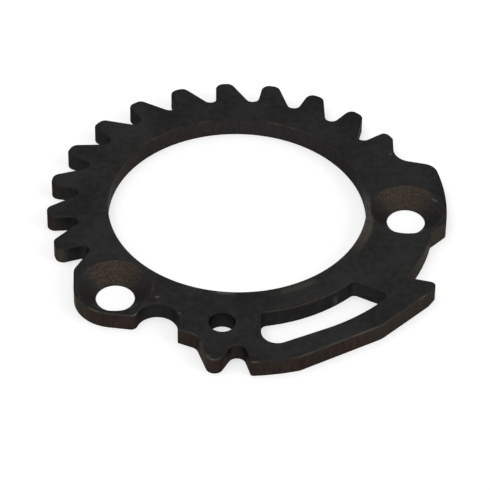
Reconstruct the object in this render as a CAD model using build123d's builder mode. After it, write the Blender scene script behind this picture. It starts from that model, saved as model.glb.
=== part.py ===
from build123d import *
from math import acos, asin, degrees, sqrt
import os

# Locking ring: a flat ratchet ring blanked in one piece from steel plate, in millimetres.
# It lies on its underside at Z = 0 with the bore's axis on Z. X is parallel to the line
# through the two screw holes, and the ratchet teeth are on the +Y side. Angles are in
# degrees, counted anticlockwise from +X as seen from above.

# Plate and bore
plate_thickness = 3.0
bore_diameter = 42.0
edge_break = 0.2

# Ratchet teeth, each gap with a steep face, a round bottom and a sloping back
root_wall = 5.25
tooth_height = 4.65
teeth_per_turn = 24
gap_count = 12
first_gap_angle = 17.95
gap_round = 1.12
gap_face_lean = 5.6
gap_back_slope = 37.4
tooth_tip_round = 1.3

# Screw holes, countersunk from above, on one circle around the bore
screw_inset = 6.5
screw_half_angle = 66.2
screw_hole_diameter = 6.2
countersink_diameter = 11.7
countersink_angle = 90.0

# Right lug around one screw hole, with a round relief between it and the first tooth
lug_height = 3.15
lug_end_angle = -29.2
lug_top_round = 2.5
lug_end_round = 0.8
relief_radius = 3.1
relief_offset = 1.36
relief_angle = 4.28
relief_lug_side = -34.5
relief_tooth_side = 67.6

# Rim between the right lug and the hook
rim_height = 1.05
rim_start_angle = -34.5
rim_end_angle = -54.0
rim_round = 0.5

# Window and the curved arm outside it
window_wall = 4.95
window_width = 6.25
window_end_angle = -63.1
window_end_lean = 3.3
window_bend_angle = -86.3
window_start_angle = -103.3
window_start_lean = 2.2
window_flare = 1.9
window_inner_round = 1.0
window_start_round = 2.5
window_end_round = 1.2

arm_width = 4.55
hook_angle = -51.6
hook_round = 0.9
arm_end_angle = -108.3
arm_end_round = 0.5
front_flat_angle = -67.4
front_flat_depth = 0.7
rear_flat_angle = -82.6
rear_flat_depth = 1.05
flats_round = 4.0

# Prong beside the arm's end, with a rounded crotch between them
crotch_angle = -110.95
crotch_depth = 0.35
crotch_round = 1.4
prong_angle = -117.3
prong_height = 7.6
prong_round = 1.4
prong_foot_angle = -123.3
prong_foot_height = 0.5
prong_foot_round = 1.5

# Small hole above the prong
pin_hole_diameter = 4.25
pin_hole_inset = 6.95
pin_hole_angle = -116.5

# Half-round notch and the left lug around the other screw hole
notch_radius = 3.3
notch_inset = 1.15
notch_angle = -136.6
notch_mouth_angle = -112.4
shoulder_round = 0.4
left_lug_wall = 0.7
left_lug_drop = 0.5
left_lug_lap = 0.7
left_lug_tip_round = 2.0
left_lug_notch_round = 1.0

# Derived radii
bore_radius = bore_diameter / 2
root_radius = bore_radius + root_wall
tip_radius = root_radius + tooth_height
lug_radius = tip_radius + lug_height
rim_radius = tip_radius + rim_height
window_inner_radius = bore_radius + window_wall
window_outer_radius = window_inner_radius + window_width
arm_radius = window_outer_radius + arm_width
screw_circle_radius = bore_radius + screw_inset

gap_center_radius = root_radius + gap_round

# Derived angles
tooth_pitch = 360 / teeth_per_turn
right_screw_angle = screw_half_angle - 90
left_screw_angle = -screw_half_angle - 90


def polar(radius, angle):
    """The point at a radius from the bore's axis and an angle from +X."""
    return Vector(radius, 0).rotate(Axis.Z, angle)


def flat_end(radius, depth, angle, side):
    """The point where a flat, cut to a depth into a circle, meets that circle again."""
    half_angle = degrees(acos(1 - depth / radius))
    return polar(radius, angle + side * half_angle)


def flat_line(radius, depth, angle):
    """The chord that a flat cuts from a circle, lengthened past both of its ends."""
    middle = polar(radius - depth, angle)
    along = polar(radius, angle + 90)
    return Edge.make_line(middle - along, middle + along)


def tangent_point(point, center, radius, side):
    """The point where a line drawn from a point touches a circle, on one side of its center."""
    to_center = center - point
    half_angle = degrees(asin(radius / to_center.length))
    along = to_center.rotate(Axis.Z, side * half_angle).normalized()
    return point + along * sqrt(to_center.length**2 - radius**2)


def crossing_angle(radius, center_radius, cut_radius):
    """The angle, from a round cut's center, at which its edge crosses a circle around the bore."""
    squares = radius**2 + center_radius**2 - cut_radius**2
    return degrees(acos(squares / (2 * radius * center_radius)))


def corner(sketch, point):
    """The vertex of a sketch that lies nearest to a point."""
    return sketch.vertices().sort_by_distance(point)[0]


def side_end(center, radius, angle, side, reach):
    """The point where a straight side, leaving a round cut at an angle, reaches a circle around the bore."""
    foot = center + polar(radius, angle + 90 * side)
    along = polar(1, angle)
    middle = foot.dot(along)
    return foot + along * (sqrt(middle**2 - foot.dot(foot) + reach**2) - middle)


def open_cut(radius, right_side, left_side):
    """A cut with a round bottom around the origin and two straight sides, run out past the outline."""
    middle = (right_side + left_side) / 2
    right_foot = polar(radius, right_side - 90)
    left_foot = polar(radius, left_side + 90)
    right_end = right_foot + polar(arm_width + tooth_height, right_side)
    left_end = left_foot + polar(arm_width + tooth_height, left_side)
    with BuildSketch() as cut:
        with BuildLine():
            ThreePointArc(right_foot, polar(-radius, middle), left_foot)
            Polyline(left_foot, left_end, right_end, right_foot)
        make_face()
    return cut.sketch


tooth_gap = open_cut(gap_round, -gap_face_lean, gap_back_slope)
relief = open_cut(relief_radius, relief_lug_side, relief_tooth_side)
notch = open_cut(notch_radius, notch_mouth_angle, notch_mouth_angle)

# Tooth tips on both sides of each gap
gap_center = polar(gap_center_radius, first_gap_angle)
face_tip = side_end(gap_center, gap_round, first_gap_angle - gap_face_lean, -1, tip_radius)
back_tip = side_end(gap_center, gap_round, first_gap_angle + gap_back_slope, 1, tip_radius)
face_tips = [face_tip.rotate(Axis.Z, index * tooth_pitch) for index in range(gap_count)]
back_tips = [back_tip.rotate(Axis.Z, index * tooth_pitch) for index in range(gap_count - 1)]
tip_land = face_tips[1] - back_tips[0]

# Corners on both sides of the relief and of the notch
relief_center = polar(tip_radius + relief_offset, relief_angle)
lug_top = side_end(relief_center, relief_radius, relief_lug_side, -1, lug_radius)
first_tip = side_end(relief_center, relief_radius, relief_tooth_side, 1, tip_radius)
first_land = face_tips[0] - first_tip
notch_center = polar(tip_radius - notch_inset, notch_angle)
notch_half_angle = crossing_angle(tip_radius, tip_radius - notch_inset, notch_radius)
notch_edge = polar(tip_radius, notch_angle - notch_half_angle)
shoulder = side_end(notch_center, notch_radius, notch_mouth_angle, 1, tip_radius)

# Apron: the right lug, the rim, the hooked arm and the prong, traced clockwise
apron_start = polar(lug_radius, relief_angle)
lug_end = polar(lug_radius, lug_end_angle)
rim_start = polar(rim_radius, rim_start_angle)
rim_end = polar(rim_radius, rim_end_angle)
hook_tip = polar(arm_radius, hook_angle)
front_flat_start = flat_end(arm_radius, front_flat_depth, front_flat_angle, 1)
front_flat = flat_line(arm_radius, front_flat_depth, front_flat_angle)
rear_flat = flat_line(arm_radius, rear_flat_depth, rear_flat_angle)
flats_corner = Vector(front_flat.intersect(rear_flat).vertices()[0])
rear_flat_end = flat_end(arm_radius, rear_flat_depth, rear_flat_angle, -1)
arm_end = polar(arm_radius, arm_end_angle)
crotch = polar(tip_radius - crotch_depth, crotch_angle)
prong_tip = polar(tip_radius + prong_height, prong_angle)
prong_foot = polar(tip_radius + prong_foot_height, prong_foot_angle)

with BuildSketch() as apron:
    with BuildLine():
        Line((0, 0), apron_start)
        RadiusArc(apron_start, lug_end, lug_radius)
        Line(lug_end, rim_start)
        RadiusArc(rim_start, rim_end, rim_radius)
        Line(rim_end, hook_tip)
        RadiusArc(hook_tip, front_flat_start, arm_radius)
        Polyline(front_flat_start, flats_corner, rear_flat_end)
        RadiusArc(rear_flat_end, arm_end, arm_radius)
        Polyline(arm_end, crotch, prong_tip, prong_foot, shoulder, (0, 0))
    make_face()
    fillet(corner(apron, lug_end), lug_end_round)
    fillet(corner(apron, rim_start), rim_round)
    fillet(corner(apron, hook_tip), hook_round)
    fillet(corner(apron, flats_corner), flats_round)
    fillet(corner(apron, arm_end), arm_end_round)
    fillet(corner(apron, crotch), crotch_round)
    fillet(corner(apron, prong_tip), prong_round)
    fillet(corner(apron, prong_foot), prong_foot_round)

# Left lug: a round eye around its screw hole, run out straight to the last tooth and the notch
left_screw = polar(screw_circle_radius, left_screw_angle)
left_lug_radius = countersink_diameter / 2 + left_lug_wall
last_gap_angle = first_gap_angle + (gap_count - 1) * tooth_pitch
last_gap_center = polar(gap_center_radius, last_gap_angle)
last_back_angle = last_gap_angle + gap_back_slope
lug_tooth_end = side_end(last_gap_center, gap_round, last_back_angle, 1, tip_radius - left_lug_drop)
lug_notch_end = polar(tip_radius, notch_angle - notch_half_angle + left_lug_lap)
lug_tooth_side = tangent_point(lug_tooth_end, left_screw, left_lug_radius, -1)
lug_notch_side = tangent_point(lug_notch_end, left_screw, left_lug_radius, 1)
with BuildSketch() as left_lug:
    with BuildLine():
        Polyline(lug_notch_side, lug_notch_end, lug_tooth_end, lug_tooth_side)
        ThreePointArc(lug_tooth_side, left_screw + polar(left_lug_radius, left_screw_angle), lug_notch_side)
    make_face()

# Room outside the left lug's straight edge
outwards = arm_radius / tip_radius
with BuildSketch() as left_lug_room:
    with BuildLine():
        Polyline(
            lug_tooth_end,
            lug_tooth_side,
            lug_tooth_side * outwards,
            lug_tooth_end * outwards,
            close=True,
        )
    make_face()

# Window inside the arm, flared towards its start
window_points = [
    polar(window_inner_radius, window_end_angle - window_end_lean),
    polar(window_inner_radius, window_start_angle),
    polar(window_outer_radius + window_flare, window_start_angle - window_start_lean),
    polar(window_outer_radius, window_bend_angle),
    polar(window_outer_radius, window_end_angle),
]
with BuildSketch() as window:
    with BuildLine():
        RadiusArc(window_points[0], window_points[1], window_inner_radius)
        Polyline(*window_points[1:4])
        RadiusArc(window_points[3], window_points[4], -window_outer_radius)
        Line(window_points[4], window_points[0])
    make_face()
    fillet(corner(window, window_points[0]), window_inner_round)
    fillet(corner(window, window_points[1]), window_inner_round)
    fillet(corner(window, window_points[2]), window_start_round)
    fillet(corner(window, window_points[4]), window_end_round)

# Whole outline
with BuildSketch() as outline:
    Circle(tip_radius)
    with PolarLocations(gap_center_radius, gap_count, first_gap_angle, gap_count * tooth_pitch):
        add(tooth_gap, mode=Mode.SUBTRACT)
    add(apron.sketch)
    add(left_lug.sketch)
    add(left_lug_room.sketch, mode=Mode.SUBTRACT)
    with Locations(relief_center):
        add(relief, mode=Mode.SUBTRACT)
    with Locations(notch_center):
        add(notch, mode=Mode.SUBTRACT)
    first_tips = [corner(outline, point) for point in (first_tip, face_tips[0])]
    fillet(first_tips, min(tooth_tip_round, first_land.length / 2))
    tips = [corner(outline, point) for point in (*face_tips[1:], *back_tips)]
    fillet(tips, min(tooth_tip_round, tip_land.length / 2))
    fillet(corner(outline, lug_top), lug_top_round)
    fillet(corner(outline, shoulder), shoulder_round)
    fillet(corner(outline, notch_edge), left_lug_notch_round)
    fillet(corner(outline, lug_tooth_end), left_lug_tip_round)

with BuildPart() as locking_ring:
    with BuildSketch():
        add(outline.sketch)
        Circle(bore_radius, mode=Mode.SUBTRACT)
        add(window.sketch, mode=Mode.SUBTRACT)
        with Locations(polar(bore_radius + pin_hole_inset, pin_hole_angle)):
            Circle(pin_hole_diameter / 2, mode=Mode.SUBTRACT)
    extrude(amount=plate_thickness)
    chamfer(locking_ring.faces().sort_by(Axis.Z)[-1].outer_wire().edges(), edge_break)
    screw_places = [polar(screw_circle_radius, angle) for angle in (right_screw_angle, left_screw_angle)]
    with Locations(*[place + Vector(0, 0, plate_thickness) for place in screw_places]):
        CounterSinkHole(
            screw_hole_diameter / 2,
            countersink_diameter / 2,
            counter_sink_angle=countersink_angle,
        )

locking_ring.part.label = "locking_ring"
os.makedirs("parts", exist_ok=True)
export_step(locking_ring.part, "parts/locking_ring.step")
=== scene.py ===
from math import cos, radians, sin
from typing import NamedTuple

import bpy
import numpy as np
from mathutils import Matrix, Vector

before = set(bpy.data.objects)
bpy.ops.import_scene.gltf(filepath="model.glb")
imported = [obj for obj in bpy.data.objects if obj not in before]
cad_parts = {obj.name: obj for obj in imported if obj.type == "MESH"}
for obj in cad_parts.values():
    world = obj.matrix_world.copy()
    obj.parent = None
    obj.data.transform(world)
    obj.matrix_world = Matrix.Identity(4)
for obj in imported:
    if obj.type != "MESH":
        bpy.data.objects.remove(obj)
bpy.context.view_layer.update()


class Mark(NamedTuple):
    """A soft oval mark: centre, length and width in millimetres, turn from +X in degrees, and strength."""

    centre: tuple
    turn: float
    length: float
    width: float
    strength: float


class Arc(NamedTuple):
    """A stretch round the bore's axis, in degrees from +X, and the width that it fades over at each end."""

    start: float
    end: float
    fade: float


class Grain(NamedTuple):
    """Cloudy noise: its patches per millimetre, its finer layers, and how strong those are."""

    scale: float
    detail: float
    roughness: float = 0.55


MILLIMETRE = 0.001

# Sizes of the ring that the finish follows, in millimetres
PLATE_THICKNESS = 3.0
BORE_RADIUS = 21.0
SCREW_X = 25.162
SCREW_Y = -11.098
COUNTERSINK_RADIUS = 5.85
WINDOW_INNER_RADIUS = 25.95
WINDOW_FLARED_RADIUS = 34.1

# The photograph's camera, with its distances in metres and its sensor in millimetres
IMAGE_WIDTH = 490
SENSOR_WIDTH = 36.0
FOCAL_PIXELS = 3072.3
CAMERA_DISTANCE = 0.4992
CAMERA_ELEVATION = radians(42.34)
CAMERA_BEARING = radians(22.36)
CAMERA_ROLL = 0.0158
CAMERA_CLIP_START = 0.01
BORE_PIXEL = (237.3, 203.7)

# Floor, its half side in metres, and white surroundings with their light on the ring
FLOOR_HALF = 1.5
FLOOR_GREY = (0.60, 0.60, 0.60, 1)
FLOOR_ROUGHNESS = 0.9
FLOOR_GLOW = 0.54
WHITE = (1, 1, 1, 1)
LIGHT_ON_RING = 0.45

# Finishes, each from its dark to its light, in linear light
PLATE = ((0.0160, 0.0160, 0.0157, 1), (0.0258, 0.0256, 0.0251, 1))
CUT_WALL = ((0.0250, 0.0178, 0.0146, 1), (0.0365, 0.0265, 0.0220, 1))
GREY_BORE = ((0.0225, 0.0216, 0.0212, 1), (0.0320, 0.0308, 0.0302, 1))
BROWN_BORE = ((0.0250, 0.0210, 0.0198, 1), (0.0362, 0.0300, 0.0285, 1))
GREY_CONE = ((0.0195, 0.0190, 0.0183, 1), (0.0385, 0.0374, 0.0360, 1))
# The cones' far side: brown oxide, with painted light where it faces the front lamp
LIT_BROWN_CONE = ((0.0235, 0.0194, 0.0156, 1), (0.0560, 0.0452, 0.0353, 1))
ARRIS = ((0.0165, 0.0160, 0.0154, 1), (0.0365, 0.0330, 0.0294, 1))

# Colours of bared steel, which also paint the highlights, sheen and glints on edges, and the tint of
# glancing reflections, in linear light
WEAR_AND_HIGHLIGHT_STEEL = (0.0600, 0.0540, 0.0445, 1)
NICK_AND_GLINT_STEEL = (0.0800, 0.0750, 0.0690, 1)
SPECULAR_TINT = (0.45, 0.45, 0.45, 1)

# Roughness of the plate, and what mottle, cones and nicks add to it
PLATE_ROUGHNESS = 0.42
MOTTLE_ROUGHNESS = 0.16
CONE_ROUGHNESS = 0.12
NICK_ROUGHNESS = -0.1

# Relief: depth in millimetres, and the heights of shear marks and turned rings against the speckle
RELIEF_STRENGTH = 0.35
RELIEF_DEPTH = 0.04
SHEAR_HEIGHT = 0.8
RING_HEIGHT = 0.07

# Grains of the steel, and how the place is turned, then stretched, for shear marks and scratches
CLOUDS = Grain(0.11, 2)
MOTTLE = Grain(0.9, 5)
SPECKLE = Grain(3.2, 2, 0.7)
SHEAR = Grain(2.4, 3, 0.6)
PATCHES = Grain(0.35, 4, 0.6)
SCRATCHES = Grain(1, 1)
UPRIGHT_STRETCH = (1, 1, 0.12)
LONG_SCRATCH_STRETCH = (0.12, 3.5, 1)
LONG_SCRATCH_TURN = 35
SHORT_SCRATCH_STRETCH = (0.3, 4, 1)
SHORT_SCRATCH_TURN = -50
SCRATCH_STRENGTH = 0.15

# Share of the first grain where two are blended
CLOUD_SHARE = 0.5
SPECKLE_SHARE = 0.6

# Noise levels where a tone is darkest and lightest, or where a mark starts and is full
PLATE_TONES = (0.34, 0.66)
LONG_SCRATCH_TONES = (0.68, 0.76)
SHORT_SCRATCH_TONES = (0.7, 0.78)
SHEAR_TONES = (0.3, 0.7)
BORE_TONES = (0.36, 0.64)
CONE_TONES = (0.25, 0.75)
PATCH_TONES = (0.3, 0.6)
STRIP_TONES = (0.1, 0.5)
SPECKLED_WALL_TONES = (0.35, 0.65)

# Turned rings in the countersinks: waves in radians per millimetre, their wobble and their contrast
RING_WAVES = 22
RING_WOBBLE = 4
RING_CONTRAST = 0.04

# The cones' brown side, painted lighter as the side that the front lamp lights: its bearing from +Y towards
# +X, and its limits as the cosine of the angle from it
LIT_SIDE_BEARING = radians(22)
LIT_SIDE_LIMITS = (0.4, 0.85)

# Ramps, as start and end, and bands, as low, high and fade, of how far a surface faces up or down
LEVEL_FACING = (0.9, 0.97)
SLOPED_FACING = (0.4, 0.9, 0.05)
WALL_FACING = (0.3, 0.1)

# Ramps and bands of height, in millimetres
UPPER_HEIGHTS = (PLATE_THICKNESS - 0.25, PLATE_THICKNESS - 0.1)
NEAR_TOP_HEIGHTS = (PLATE_THICKNESS - 0.8, PLATE_THICKNESS - 0.6)
FLECK_HEIGHTS = (0.5, 1.7, 0.5)

# Ramps and bands of distance from the bore's axis, or for the cones from the screw's, in millimetres
CONE_RADII = (COUNTERSINK_RADIUS + 0.05, COUNTERSINK_RADIUS)
CUT_WALL_RADII = (28.5, 31.5)
WINDOW_RADII = (WINDOW_FLARED_RADIUS + 1.2, WINDOW_FLARED_RADIUS + 0.7)
WINDOW_EDGE_RADII = (WINDOW_INNER_RADIUS - 0.16, WINDOW_INNER_RADIUS + 0.05, 0.06)
BORE_WALL_RADII = (BORE_RADIUS + 1, BORE_RADIUS + 0.5)
BORE_EDGE_RADII = (BORE_RADIUS + 0.08, BORE_RADIUS + 0.4, 0.12)
LONG_STRIP_RADII = (BORE_RADIUS + 1.0, BORE_RADIUS + 0.3)
SHORT_STRIP_RADII = (BORE_RADIUS + 0.6, BORE_RADIUS + 1.3, 0.3)

# A band along X and a ramp along Y on the arris, in millimetres: the ramp lightens the near side's arris,
# which faces the lamps, as wear with a painted highlight
ARM_END_X = (-13.5, -6, 3)
WORN_AND_HIGHLIT_Y = (-8, -26)

# Ramps of bearing from +X, in degrees
STRIP_STARTS = (-59, -37)
STRIP_ENDS = (-11, -22)
STRIP_WIDENS = (-18, -40)
HOOK_WALL_STARTS = (-92, -62)
HOOK_WALL_ENDS = (-46, -52)

# Stretches round the bore's axis
WINDOW_ARC = Arc(-107, -62, 1)
WINDOW_EDGE_ARC = Arc(-101, -68, 2)
BROWN_BORE_ARC = Arc(95, 140, 30)
RUBBED_BORE_ARC = Arc(139, 148, 30)
SHORT_STRIP_ARC = Arc(-91, -80, 4)
# The plain rim's wall: wear with a painted highlight
RIM_WEAR_AND_HIGHLIGHT_ARC = Arc(-48, -28, 5)
HOOK_ARRIS_ARC = Arc(-72, -54, 6)
# Arcs where the painted highlight on the bore's far edge is strongest
RIGHT_FAR_ARC = Arc(42, 53, 3)
LEFT_FAR_ARC = Arc(84, 110, 5)

# Strengths of wear and of painted highlights, and the strip's widening in millimetres
STRIP_WIDENING = 0.9
LONG_STRIP_WEAR_AND_SHEEN = 0.85
SHORT_STRIP_WEAR = 0.4
HOOK_WALL_WEAR = 0.62
RUBBED_BORE_WEAR = 0.45
LEFT_FAR_GLINT = 0.7

# Wear and painted highlights that vary over the surface: its least, and what the grain or arc adds
WALL_WEAR_AND_HIGHLIGHT = (0.3, 0.6)
ARRIS_WEAR_AND_HIGHLIGHT = (0.4, 0.6)
BORE_EDGE_GLINT = (0.06, 0.6)
WINDOW_EDGE_GLINT = (0.1, 0.4)

# How much of the arris's wear and painted highlight is spared at the arm's left end and along the hook
ARM_END_SPARED = 0.75
HOOK_SPARED = 0.5

# Ovals: the crotch, which keeps the plate's colour as painted shade in that recess, the notch, whose arris
# is spared, and the window's fleck
SHADED_CROTCH = Mark((-12.3, -31.2), 0, 5.5, 5.5, 1)
SPARED_NOTCH = Mark((-20.3, -20.5), 0, 8, 12, 0.7)
WINDOW_FLECK = Mark((6.8, -25.0), 15, 1.1, 1.1, 0.4)

# Pale nicks on the upper side; the last one is a painted highlight, a glint streak on the bore's near edge
NICKS_AND_GLINT = (
    Mark((-19.9, -16.0), -10, 0.9, 0.55, 0.85),
    Mark((-18.0, -20.7), -10, 0.7, 0.5, 0.55),
    Mark((30.55, -10.35), -72, 1.7, 0.25, 1.0),
    Mark((28.2, 2.4), -20, 0.7, 0.5, 0.7),
    Mark((-20.0, -14.0), 68, 1.9, 0.4, 0.2),
    Mark((-17.3, -31.1), -45, 1.4, 0.7, 0.3),
    # A painted highlight: the glint of the bore's near edge
    Mark((-9.65, -18.95), -27, 3.6, 0.85, 0.6),
)

# Spots rubbed bright on the arris, on its near side, where wear and a painted highlight are laid in together
ARRIS_SPOTS = (
    Mark((-30.2, -15.1), -40, 2.6, 1.6, 0.8),
    Mark((-31.9, -12.6), -75, 3.0, 1.8, 0.45),
    Mark((-24.5, -18.4), 0, 1.5, 1.5, 0.75),
    Mark((-17.5, -28.4), 0, 1.6, 1.6, 0.8),
    Mark((-17.0, -31.7), 0, 1.8, 1.8, 0.8),
    Mark((-11.2, -35.2), 0, 1.6, 1.6, 0.8),
    Mark((7.4, -35.0), 10, 5.0, 2.0, 0.4),
    Mark((19.1, -30.9), 30, 1.8, 1.5, 0.4),
)

# Patches rubbed lighter on the outer wall: the prong's two flanks, the left lug and the lowest tooth
RUBBED_PATCHES = (
    Mark((-17.3, -29.4), -90, 5.0, 3.5, 0.8),
    Mark((-13.8, -31.0), 45, 3.6, 2.4, 0.8),
    Mark((-31.6, -11.8), -80, 7.0, 5.0, 0.75),
    Mark((-30.7, 0.2), 90, 5.0, 3.5, 0.7),
)

# An oval is gone at the first of these shares of its length and width, and full within the second
OVAL_LIMITS = (0.6, 0.2)

# Numbers of the Mix node's sockets for colours
MIX_MASK = 0
MIX_UNDER = 6
MIX_OVER = 7
MIX_RESULT = 2


class Finish:
    """Adds sums, masks and colours to one node tree. A source is a plain value or a node's socket."""

    def __init__(self, tree):
        self.tree = tree

    def feed(self, socket, source):
        """Links a socket to another one, or sets its plain value."""
        if isinstance(source, bpy.types.NodeSocket):
            self.tree.links.new(source, socket)
        else:
            socket.default_value = source

    def node(self, kind, **sources):
        """A new node with some of its inputs fed, each named with _ for a space."""
        made = self.tree.nodes.new(kind)
        for name, source in sources.items():
            self.feed(made.inputs[name.replace("_", " ")], source)
        return made

    def calculate(self, operation, *sources):
        """One step of arithmetic, named as the Math node names it."""
        made = self.tree.nodes.new("ShaderNodeMath")
        made.operation = operation
        for socket, source in zip(made.inputs, sources):
            self.feed(socket, source)
        return made.outputs[0]

    def times(self, first, *others):
        """The product of several masks or numbers."""
        for other in others:
            first = self.calculate("MULTIPLY", first, other)
        return first

    def most(self, first, *others):
        """The largest of several masks or numbers."""
        for other in others:
            first = self.calculate("MAXIMUM", first, other)
        return first

    def plus(self, base, value, factor):
        """A base plus a value times a factor."""
        return self.calculate("MULTIPLY_ADD", value, factor, base)

    def blend(self, first, second, share):
        """A share of the first number plus the rest of the second."""
        return self.plus(self.times(second, 1 - share), first, share)

    def rest(self, mask):
        """What a mask leaves: 1 less the mask."""
        return self.calculate("SUBTRACT", 1, mask)

    def distance(self, x, y):
        """The length of a flat offset: the root of the sum of its squares."""
        return self.calculate("SQRT", self.calculate("ADD", self.times(x, x), self.times(y, y)))

    def ramp(self, value, start, end):
        """A mask that goes softly from 0 at start to 1 at end; start may be the larger of the two."""
        made = self.node("ShaderNodeMapRange", Value=value, From_Min=start, From_Max=end)
        made.interpolation_type = "SMOOTHSTEP"
        return made.outputs["Result"]

    def band(self, value, low, high, fade):
        """A mask that is 1 between low and high and fades to 0 over a width outside them."""
        return self.times(self.ramp(value, low - fade, low), self.ramp(value, high + fade, high))

    def mix(self, mask, under, over):
        """A colour, covered by another one where the mask is 1."""
        made = self.tree.nodes.new("ShaderNodeMix")
        made.data_type = "RGBA"
        self.feed(made.inputs[MIX_MASK], mask)
        self.feed(made.inputs[MIX_UNDER], under)
        self.feed(made.inputs[MIX_OVER], over)
        return made.outputs[MIX_RESULT]

    def scaled(self, place, scale, turn=0.0):
        """A place turned about Z by some degrees, and then with its axes stretched or squeezed."""
        turned = self.node("ShaderNodeMapping", Vector=place)
        turned.inputs["Rotation"].default_value = (0, 0, radians(turn))
        return self.node("ShaderNodeMapping", Vector=turned.outputs[0], Scale=scale).outputs[0]

    def axes(self, vector):
        """The three parts of a vector."""
        return self.node("ShaderNodeSeparateXYZ", Vector=vector).outputs

    def grain(self, place, grain):
        """The noise of one grain at a place in millimetres."""
        made = self.node("ShaderNodeTexNoise", Vector=place, Scale=grain.scale, Detail=grain.detail)
        made.inputs["Roughness"].default_value = grain.roughness
        return made.outputs["Fac"]


def soft_oval():
    """A node group for one soft oval. The offset from its centre is turned back about Z, then its X is
    divided by the length and its Y by the width. The mask falls with the distance that these give: it is
    1 up to a fifth of the length and width, and 0 from three fifths of them."""
    group = bpy.data.node_groups.new("soft_oval", "ShaderNodeTree")
    for name in ("Place", "Centre"):
        group.interface.new_socket(name, in_out="INPUT", socket_type="NodeSocketVector")
    for name in ("Turn", "Length", "Width"):
        group.interface.new_socket(name, in_out="INPUT", socket_type="NodeSocketFloat")
    group.interface.new_socket("Mask", in_out="OUTPUT", socket_type="NodeSocketFloat")
    finish = Finish(group)
    given = group.nodes.new("NodeGroupInput").outputs
    offset = group.nodes.new("ShaderNodeVectorMath")
    offset.operation = "SUBTRACT"
    finish.feed(offset.inputs[0], given["Place"])
    finish.feed(offset.inputs[1], given["Centre"])
    turned = group.nodes.new("ShaderNodeVectorRotate")
    turned.rotation_type = "Z_AXIS"
    finish.feed(turned.inputs["Vector"], offset.outputs[0])
    finish.feed(turned.inputs["Angle"], finish.times(given["Turn"], -1))
    parts = finish.axes(turned.outputs[0])
    along = finish.calculate("DIVIDE", parts["X"], given["Length"])
    across = finish.calculate("DIVIDE", parts["Y"], given["Width"])
    mask = finish.ramp(finish.distance(along, across), *OVAL_LIMITS)
    finish.feed(group.nodes.new("NodeGroupOutput").inputs["Mask"], mask)
    return group


class RingSteel(Finish):
    """The ring's steel: where a point lies, which way it faces, and the grains that its finishes share."""

    def __init__(self, tree):
        super().__init__(tree)
        self.oval_group = soft_oval()

        # Place in millimetres, distance and bearing from the bore's axis, offset from the nearer screw
        coordinates = tree.nodes.new("ShaderNodeTexCoord").outputs
        self.place = self.scaled(coordinates["Object"], (1 / MILLIMETRE,) * 3)
        self.x, self.y, self.z = self.axes(self.place)
        self.radius = self.distance(self.x, self.y)
        self.bearing = self.calculate("ARCTAN2", self.y, self.x)
        nearer_screw = self.times(self.calculate("SIGN", self.x), SCREW_X)
        self.screw_x = self.calculate("SUBTRACT", self.x, nearer_screw)
        self.screw_y = self.calculate("SUBTRACT", self.y, SCREW_Y)
        self.screw_distance = self.distance(self.screw_x, self.screw_y)

        # Level faces, walls, cones and the arris, by which way each surface faces
        upward = self.axes(coordinates["Normal"])["Z"]
        facing = self.calculate("ABSOLUTE", upward)
        sloped = self.band(upward, *SLOPED_FACING)
        self.level = self.ramp(facing, *LEVEL_FACING)
        self.wall = self.ramp(facing, *WALL_FACING)
        self.cone = self.times(sloped, self.ramp(self.screw_distance, *CONE_RADII))
        self.arris = self.calculate("SUBTRACT", sloped, self.cone)
        self.upper = self.ramp(self.z, *UPPER_HEIGHTS)
        self.near_top = self.ramp(self.z, *NEAR_TOP_HEIGHTS)
        self.bore_wall = self.times(self.wall, self.ramp(self.radius, *BORE_WALL_RADII))

        # Grains, and the wave of the turned rings
        self.mottle = self.grain(self.place, MOTTLE)
        self.speckle = self.grain(self.place, SPECKLE)
        self.shear = self.grain(self.scaled(self.place, UPRIGHT_STRETCH), SHEAR)
        self.patches = self.ramp(self.grain(self.place, PATCHES), *PATCH_TONES)
        wobble = self.times(self.mottle, RING_WOBBLE)
        self.turned_rings = self.calculate("SINE", self.plus(wobble, self.screw_distance, RING_WAVES))

    def arc(self, arc):
        """The mask of a stretch round the bore's axis."""
        return self.band(self.bearing, radians(arc.start), radians(arc.end), radians(arc.fade))

    def sweep(self, start, end):
        """A mask that goes softly from 0 at one bearing to 1 at another, both in degrees."""
        return self.ramp(self.bearing, radians(start), radians(end))

    def oval(self, mark):
        """The mask of one oval mark: the soft oval's mask times the mark's strength."""
        made = self.tree.nodes.new("ShaderNodeGroup")
        made.node_tree = self.oval_group
        self.feed(made.inputs["Place"], self.place)
        made.inputs["Centre"].default_value = (*mark.centre, 0)
        made.inputs["Turn"].default_value = radians(mark.turn)
        made.inputs["Length"].default_value = mark.length
        made.inputs["Width"].default_value = mark.width
        return self.times(made.outputs["Mask"], mark.strength)

    def ovals(self, marks):
        """The mask of several oval marks: the largest of theirs."""
        return self.most(*[self.oval(mark) for mark in marks])


def plate_colour(steel):
    """Plate: dark to light by the mean of clouds and mottle. Level faces have faint scratches two ways."""
    tone = steel.blend(steel.grain(steel.place, CLOUDS), steel.mottle, CLOUD_SHARE)
    plain = steel.mix(steel.ramp(tone, *PLATE_TONES), *PLATE)
    long_way = steel.scaled(steel.place, LONG_SCRATCH_STRETCH, LONG_SCRATCH_TURN)
    short_way = steel.scaled(steel.place, SHORT_SCRATCH_STRETCH, SHORT_SCRATCH_TURN)
    scratches = steel.most(
        steel.ramp(steel.grain(long_way, SCRATCHES), *LONG_SCRATCH_TONES),
        steel.ramp(steel.grain(short_way, SCRATCHES), *SHORT_SCRATCH_TONES),
    )
    return steel.mix(steel.times(scratches, steel.level, SCRATCH_STRENGTH), plain, WEAR_AND_HIGHLIGHT_STEEL)


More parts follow.
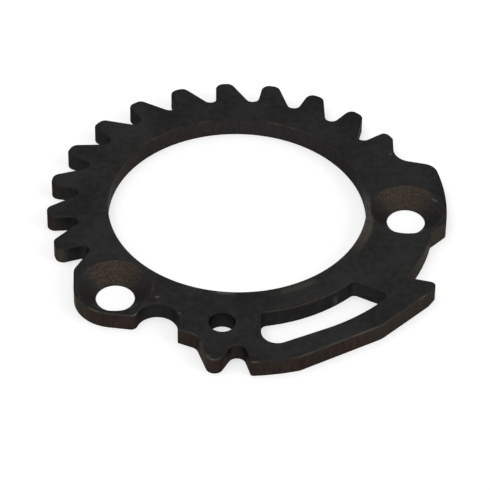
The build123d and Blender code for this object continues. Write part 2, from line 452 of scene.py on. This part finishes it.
def outer_wall(steel):
    """The mask of the outer cut wall: it comes in softly over the outer half of the teeth, and leaves out
    the walls of the window and the crotch. These and the teeth's roots keep the darker plate colour as
    painted shade."""
    in_window = steel.times(steel.arc(WINDOW_ARC), steel.ramp(steel.radius, *WINDOW_RADII))
    shaded_recesses = steel.most(in_window, steel.oval(SHADED_CROTCH))
    return steel.times(steel.wall, steel.ramp(steel.radius, *CUT_WALL_RADII), steel.rest(shaded_recesses))


def cut_wall_colour(steel):
    """Outer cut wall: brown, dark to light by the upright shear marks."""
    return steel.mix(steel.ramp(steel.shear, *SHEAR_TONES), *CUT_WALL)


def bore_colour(steel):
    """Bore wall: grey, and brown towards the left teeth, dark to light by speckle and shear marks."""
    tone = steel.ramp(steel.blend(steel.speckle, steel.shear, SPECKLE_SHARE), *BORE_TONES)
    return steel.mix(steel.arc(BROWN_BORE_ARC), steel.mix(tone, *GREY_BORE), steel.mix(tone, *BROWN_BORE))


def cone_colour(steel):
    """Countersinks: dark to light by speckle and faint turned rings. Their far side, towards the teeth, is
    brown oxide with painted light where it faces the front lamp, by the cosine of the angle between the
    offset from the screw's axis and that side's bearing."""
    tone = steel.ramp(steel.plus(steel.speckle, steel.turned_rings, RING_CONTRAST), *CONE_TONES)
    along_y = steel.times(steel.screw_y, cos(LIT_SIDE_BEARING))
    towards_teeth = steel.plus(along_y, steel.screw_x, sin(LIT_SIDE_BEARING))
    cosine = steel.calculate("DIVIDE", towards_teeth, steel.screw_distance)
    brown = steel.ramp(cosine, *LIT_SIDE_LIMITS)
    return steel.mix(brown, steel.mix(tone, *GREY_CONE), steel.mix(tone, *LIT_BROWN_CONE))


def arris_colour(steel):
    """Broken outer edge: lighter in patches towards the arm and the prong, on the near side that faces the
    lamps, as wear with a painted highlight; this is spared at the arm's left end, along the hook and in the
    notch."""
    spared = steel.most(
        steel.times(steel.band(steel.x, *ARM_END_X), ARM_END_SPARED),
        steel.times(steel.arc(HOOK_ARRIS_ARC), HOOK_SPARED),
        steel.oval(SPARED_NOTCH),
    )
    least, added = ARRIS_WEAR_AND_HIGHLIGHT
    patchy = steel.plus(least, steel.patches, added)
    worn_and_highlit = steel.times(steel.ramp(steel.y, *WORN_AND_HIGHLIT_Y), patchy, steel.rest(spared))
    return steel.mix(worn_and_highlit, *ARRIS)


def strip_wear_and_sheen(steel):
    """The mask of the strip beside the bore, rubbed and with a painted sheen where the bore's rounded edge
    catches the light.
    Its outer edge is at a fixed radius, moved outwards by the widening from the right screw hole towards the
    window. A short one lies between bore and window."""
    widening = steel.times(steel.sweep(*STRIP_WIDENS), -STRIP_WIDENING)
    long_strip = steel.times(
        steel.ramp(steel.calculate("ADD", steel.radius, widening), *LONG_STRIP_RADII),
        steel.sweep(*STRIP_STARTS),
        steel.sweep(*STRIP_ENDS),
        steel.ramp(steel.mottle, *STRIP_TONES),
        LONG_STRIP_WEAR_AND_SHEEN,
    )
    short_strip = steel.times(
        steel.band(steel.radius, *SHORT_STRIP_RADII),
        steel.arc(SHORT_STRIP_ARC),
        SHORT_STRIP_WEAR,
    )
    return steel.times(steel.level, steel.upper, steel.most(long_strip, short_strip))


def outer_wall_wear_and_highlight(steel, outer):
    """The mask of the outer wall where it is lighter, in speckles: on the plain rim between the right screw
    hole and the hook, rubbed and with a painted highlight that widens the edge's glint, along the hook, and
    in rubbed patches."""
    hook_wall = steel.times(steel.sweep(*HOOK_WALL_STARTS), steel.sweep(*HOOK_WALL_ENDS), HOOK_WALL_WEAR)
    along_rim = steel.most(steel.arc(RIM_WEAR_AND_HIGHLIGHT_ARC), hook_wall)
    in_patches = steel.times(steel.wall, steel.ovals(RUBBED_PATCHES))
    least, added = WALL_WEAR_AND_HIGHLIGHT
    speckled = steel.plus(least, steel.ramp(steel.speckle, *SPECKLED_WALL_TONES), added)
    return steel.times(steel.most(steel.times(outer, along_rim), in_patches), speckled)


def edge_glints(steel):
    """The mask of a painted highlight on the sharp upper edges of the bore and the window, in patches: the
    glint of a lit edge. The bore's is strongest on two arcs at its far side."""
    far_arcs = steel.most(steel.arc(RIGHT_FAR_ARC), steel.times(steel.arc(LEFT_FAR_ARC), LEFT_FAR_GLINT))
    least_at_bore, added_at_bore = BORE_EDGE_GLINT
    bore_glint = steel.times(
        steel.band(steel.radius, *BORE_EDGE_RADII),
        steel.patches,
        steel.plus(least_at_bore, far_arcs, added_at_bore),
    )
    least_at_window, added_at_window = WINDOW_EDGE_GLINT
    window_glint = steel.times(
        steel.band(steel.radius, *WINDOW_EDGE_RADII),
        steel.arc(WINDOW_EDGE_ARC),
        steel.plus(least_at_window, steel.patches, added_at_window),
    )
    return steel.times(steel.most(bore_glint, window_glint), steel.upper)


def nicks_and_glint(steel):
    """The mask of the pale nicks near the upper side, one of them a painted glint on the bore's near edge,
    and of a fleck on the window's inner wall.
    """
    fleck = steel.times(steel.oval(WINDOW_FLECK), steel.band(steel.z, *FLECK_HEIGHTS))
    return steel.most(steel.times(steel.ovals(NICKS_AND_GLINT), steel.near_top), fleck)


def relief(steel):
    """The bumps: speckle all over, plus the shear marks on the walls and the turned rings in the cones."""
    with_shear = steel.plus(steel.speckle, steel.times(steel.shear, steel.wall), SHEAR_HEIGHT)
    height = steel.plus(with_shear, steel.times(steel.turned_rings, steel.cone), RING_HEIGHT)
    depth = RELIEF_DEPTH * MILLIMETRE
    return steel.node("ShaderNodeBump", Strength=RELIEF_STRENGTH, Distance=depth, Height=height).outputs[0]


def blackened_steel():
    """Blackened steel: mottled dark plate, brown outer cut walls, a bore that goes from grey to brown and
    turned countersinks with painted light on their far side, then the arris, the wear with painted
    highlights and sheen, and the nicks with one painted glint, each laid over the last."""
    material = bpy.data.materials.new("blackened_steel")
    material.use_nodes = True
    steel = RingSteel(material.node_tree)
    shader = material.node_tree.nodes["Principled BSDF"]
    outer = outer_wall(steel)
    wear_and_highlights = steel.most(
        strip_wear_and_sheen(steel),
        outer_wall_wear_and_highlight(steel, outer),
        steel.times(steel.bore_wall, steel.arc(RUBBED_BORE_ARC), RUBBED_BORE_WEAR),
        steel.times(steel.arris, steel.ovals(ARRIS_SPOTS)),
        edge_glints(steel),
    )
    nick_and_glint_mask = nicks_and_glint(steel)
    layers = (
        (outer, cut_wall_colour(steel)),
        (steel.bore_wall, bore_colour(steel)),
        (steel.cone, cone_colour(steel)),
        (steel.arris, arris_colour(steel)),
        (wear_and_highlights, WEAR_AND_HIGHLIGHT_STEEL),
        (nick_and_glint_mask, NICK_AND_GLINT_STEEL),
    )
    colour = plate_colour(steel)
    for mask, over in layers:
        colour = steel.mix(mask, colour, over)
    mottled = steel.plus(PLATE_ROUGHNESS, steel.mottle, MOTTLE_ROUGHNESS)
    with_cones = steel.plus(mottled, steel.cone, CONE_ROUGHNESS)
    steel.feed(shader.inputs["Base Color"], colour)
    steel.feed(shader.inputs["Roughness"], steel.plus(with_cones, nick_and_glint_mask, NICK_ROUGHNESS))
    steel.feed(shader.inputs["Normal"], relief(steel))
    shader.inputs["Metallic"].default_value = 1.0
    shader.inputs["Specular Tint"].default_value = SPECULAR_TINT
    return material


def seen_directly(finish):
    """1 for what the camera sees itself, or in a reflection or through glass."""
    path = finish.tree.nodes.new("ShaderNodeLightPath").outputs
    return finish.most(path["Is Camera Ray"], path["Is Glossy Ray"], path["Is Transmission Ray"])


def pale_floor():
    """A pale floor that is seen as white, with the ring's soft shadow kept on it."""
    material = bpy.data.materials.new("pale_floor")
    material.use_nodes = True
    finish = Finish(material.node_tree)
    shader = material.node_tree.nodes["Principled BSDF"]
    shader.inputs["Base Color"].default_value = FLOOR_GREY
    shader.inputs["Roughness"].default_value = FLOOR_ROUGHNESS
    shader.inputs["Specular IOR Level"].default_value = 0.0
    shader.inputs["Emission Color"].default_value = WHITE
    finish.feed(shader.inputs["Emission Strength"], finish.times(seen_directly(finish), FLOOR_GLOW))
    return material


def floor():
    """The floor: one flat square face around the origin, level with the ring's underside."""
    corners = FLOOR_HALF * np.array([(-1, -1, 0), (1, -1, 0), (1, 1, 0), (-1, 1, 0)])
    mesh = bpy.data.meshes.new("floor")
    mesh.from_pydata(corners, [], [(0, 1, 2, 3)])
    mesh.materials.append(pale_floor())
    piece = bpy.data.objects.new("floor", mesh)
    bpy.context.scene.collection.objects.link(piece)


def studio_world():
    """White surroundings as seen directly, and a lower level as light on the ring."""
    world = bpy.data.worlds.new("studio")
    bpy.context.scene.world = world
    world.use_nodes = True
    finish = Finish(world.node_tree)
    background = world.node_tree.nodes["Background"]
    background.inputs["Color"].default_value = WHITE
    strength = finish.plus(LIGHT_ON_RING, seen_directly(finish), 1 - LIGHT_ON_RING)
    finish.feed(background.inputs["Strength"], strength)


def soft_box(name, place, size, power):
    """A square area lamp that faces the middle of the ring."""
    lamp = bpy.data.lights.new(name, "AREA")
    lamp.size = size
    lamp.energy = power
    piece = bpy.data.objects.new(name, lamp)
    piece.location = place
    piece.rotation_euler = (-Vector(place)).to_track_quat("-Z", "Y").to_euler()
    bpy.context.scene.collection.objects.link(piece)


def photo_camera():
    """The photograph's camera: its line of sight falls by the elevation and is turned from +Y by the
    bearing, its picture is rolled a little, and it stands back from the middle of the bore's upper edge
    by the distance and aside by as much as that point lies off the middle of the picture."""
    sight = Vector((
        cos(CAMERA_ELEVATION) * sin(CAMERA_BEARING),
        cos(CAMERA_ELEVATION) * cos(CAMERA_BEARING),
        -sin(CAMERA_ELEVATION),
    ))
    level = Vector((cos(CAMERA_BEARING), -sin(CAMERA_BEARING), 0))
    upright = level.cross(sight)
    right = level * cos(CAMERA_ROLL) + upright * sin(CAMERA_ROLL)
    up = upright * cos(CAMERA_ROLL) - level * sin(CAMERA_ROLL)
    aside = (BORE_PIXEL[0] - IMAGE_WIDTH / 2) / FOCAL_PIXELS * CAMERA_DISTANCE
    below = (BORE_PIXEL[1] - IMAGE_WIDTH / 2) / FOCAL_PIXELS * CAMERA_DISTANCE
    target = Vector((0, 0, PLATE_THICKNESS * MILLIMETRE))
    place = target - right * aside + up * below - sight * CAMERA_DISTANCE
    lens = bpy.data.cameras.new("photo_camera")
    lens.sensor_width = SENSOR_WIDTH
    lens.lens = SENSOR_WIDTH * FOCAL_PIXELS / IMAGE_WIDTH
    lens.clip_start = CAMERA_CLIP_START
    piece = bpy.data.objects.new("photo_camera", lens)
    turn = Matrix((right, up, -sight)).transposed().to_4x4()
    piece.matrix_world = Matrix.Translation(place) @ turn
    bpy.context.scene.collection.objects.link(piece)
    bpy.context.scene.camera = piece


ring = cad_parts["locking_ring"]
ring.material_slots[0].material = blackened_steel()
floor()
studio_world()
soft_box("top_box", place=(-0.2, 0.1, 1.2), size=1.0, power=4.0)
soft_box("camera_box", place=(-0.33, -0.51, 0.67), size=0.45, power=1.0)
soft_box("right_box", place=(0.54, -0.48, 0.53), size=0.45, power=1.5)
photo_camera()
bpy.context.scene.view_settings.view_transform = "Standard"
